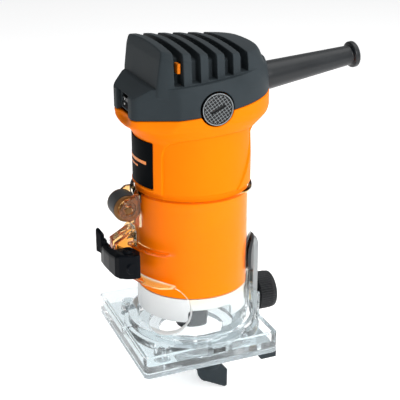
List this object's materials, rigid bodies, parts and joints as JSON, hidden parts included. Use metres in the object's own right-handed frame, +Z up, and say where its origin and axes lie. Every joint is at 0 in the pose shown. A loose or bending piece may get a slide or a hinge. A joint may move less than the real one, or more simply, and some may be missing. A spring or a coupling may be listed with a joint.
{
  "type": "trim router",
  "caption": "Palm-size trim router: ribbed head, slim motor housing clamped in a clear tube base with a depth wheel, quick clamp lever and an under-base roller guide.",
  "frame": {"origin": "on the spindle axis at the flat seat inside the spindle nose where a cutter's shank ends, 26 mm above the underside of the sole at the stored depth", "axes": "+Z up along the spindle, +Y towards the cord guard and roller guide, +X towards the right brush cap"},
  "size_m": [0.0852, 0.155, 0.2191],
  "materials": {
    "clear_plastic": "clear moulded, glossy",
    "sole_plastic": "smoke-tinted clear, glossy",
    "orange_plastic": "satin moulded",
    "black_plastic": "fine textured",
    "gloss_black": "glossy",
    "knob_black": "satin, fluted",
    "rubber": "satin",
    "label": "satin film",
    "cast_aluminium": "die cast, satin",
    "bar_steel": "zinc plated, brushed",
    "fastener_steel": "turned",
    "dark_steel": "blackened",
    "lamination_steel": "stacked sheet",
    "copper": "enamelled wire and copper bars",
    "brass": "turned",
    "carbon": "dull"
  },
  "bodies": {
    "base": {"base_body": "clear_plastic", "sole_plate": "sole_plastic", "sole_screw_1": "fastener_steel", "sole_screw_2": "fastener_steel", "sole_screw_3": "fastener_steel", "sole_screw_4": "fastener_steel", "clamp_bolt": "fastener_steel", "guide_insert": "brass", "guide_pad": "rubber"},
    "motor": {"motor_housing": "orange_plastic", "head_cap": "black_plastic", "bearing_bracket": "cast_aluminium", "label_plate": "label", "cord_guard": "rubber", "stator_core": "lamination_steel", "field_coil_front": "copper", "field_coil_rear": "copper", "lower_bearing": "fastener_steel", "upper_bearing": "fastener_steel", "bearing_holder": "orange_plastic", "brush_holder_right": "brass", "brush_holder_left": "brass", "carbon_brush_right": "carbon", "carbon_brush_left": "carbon", "switch_frame": "black_plastic"},
    "spindle": {"armature_shaft": "fastener_steel", "collet": "fastener_steel", "armature_core": "lamination_steel", "commutator": "copper", "cooling_fan": "black_plastic"},
    "collet_nut": {"collet_nut": "dark_steel"},
    "brush_cap_right": {"brush_cap_right": "gloss_black"},
    "brush_cap_left": {"brush_cap_left": "gloss_black"},
    "rocker": {"rocker": "gloss_black"},
    "depth_wheel": {"depth_wheel": "rubber"},
    "clamp_lever": {"clamp_lever": "gloss_black", "lever_pin": "fastener_steel"},
    "guide": {"guide_bar": "bar_steel"},
    "guide_knob": {"guide_knob": "knob_black", "knob_washer": "fastener_steel"},
    "guide_arm": {"guide_arm": "black_plastic", "roller_pin": "fastener_steel"},
    "guide_wing": {"guide_wing": "gloss_black"},
    "guide_roller": {"guide_roller": "fastener_steel"}
  },
  "joints": [
    {"name": "depth_slide", "type": "slide", "parent": "base", "child": "motor", "axis": [0, 0, 1], "range_m": [-0.002, 0.028]},
    {"name": "spindle_spin", "type": "hinge", "parent": "motor", "child": "spindle", "pos_m": [0, 0, 0], "axis": [0, 0, 1], "continuous": true},
    {"name": "collet_nut_turn", "type": "hinge", "parent": "spindle", "child": "collet_nut", "pos_m": [0, 0, -0.01], "axis": [0, 0, 1], "continuous": true},
    {"name": "brush_cap_right_turn", "type": "hinge", "parent": "motor", "child": "brush_cap_right", "pos_m": [0.0355, 0, 0.1184], "axis": [1, 0, 0], "range_deg": [0, 720]},
    {"name": "brush_cap_left_turn", "type": "hinge", "parent": "motor", "child": "brush_cap_left", "pos_m": [-0.0355, 0, 0.1184], "axis": [-1, 0, 0], "range_deg": [0, 720]},
    {"name": "rocker_tilt", "type": "hinge", "parent": "motor", "child": "rocker", "pos_m": [0, -0.032, 0.1172], "axis": [1, 0, 0], "range_deg": [-9, 0]},
    {"name": "depth_wheel_turn", "type": "hinge", "parent": "base", "child": "depth_wheel", "pos_m": [0, -0.0396, 0.0592], "axis": [1, 0, 0], "range_deg": [-20, 220]},
    {"name": "clamp_lever_swing", "type": "hinge", "parent": "base", "child": "clamp_lever", "pos_m": [0.0112, -0.0416, 0.028], "axis": [0, 0, 1], "range_deg": [0, 100]},
    {"name": "guide_slide", "type": "slide", "parent": "base", "child": "guide", "axis": [0, 0, 1], "range_m": [-0.028, 0.0035]},
    {"name": "guide_knob_turn", "type": "hinge", "parent": "base", "child": "guide_knob", "pos_m": [0, 0.045, -0.0085], "axis": [0, 1, 0], "range_deg": [0, 720]},
    {"name": "guide_arm_slide", "type": "slide", "parent": "guide", "child": "guide_arm", "axis": [0, 1, 0], "range_m": [-0.0038, 0.0038]},
    {"name": "guide_wing_turn", "type": "hinge", "parent": "guide", "child": "guide_wing", "pos_m": [0, 0.0125, -0.05], "axis": [0, 0, 1], "range_deg": [-180, 180]},
    {"name": "guide_roller_spin", "type": "hinge", "parent": "guide_arm", "child": "guide_roller", "pos_m": [0, -0.004, -0.038], "axis": [0, 0, 1], "continuous": true}
  ],
  "couplings": [
    {"joint": "depth_wheel_turn", "follows": "depth_slide", "rad_per_m": 130}
  ]
}
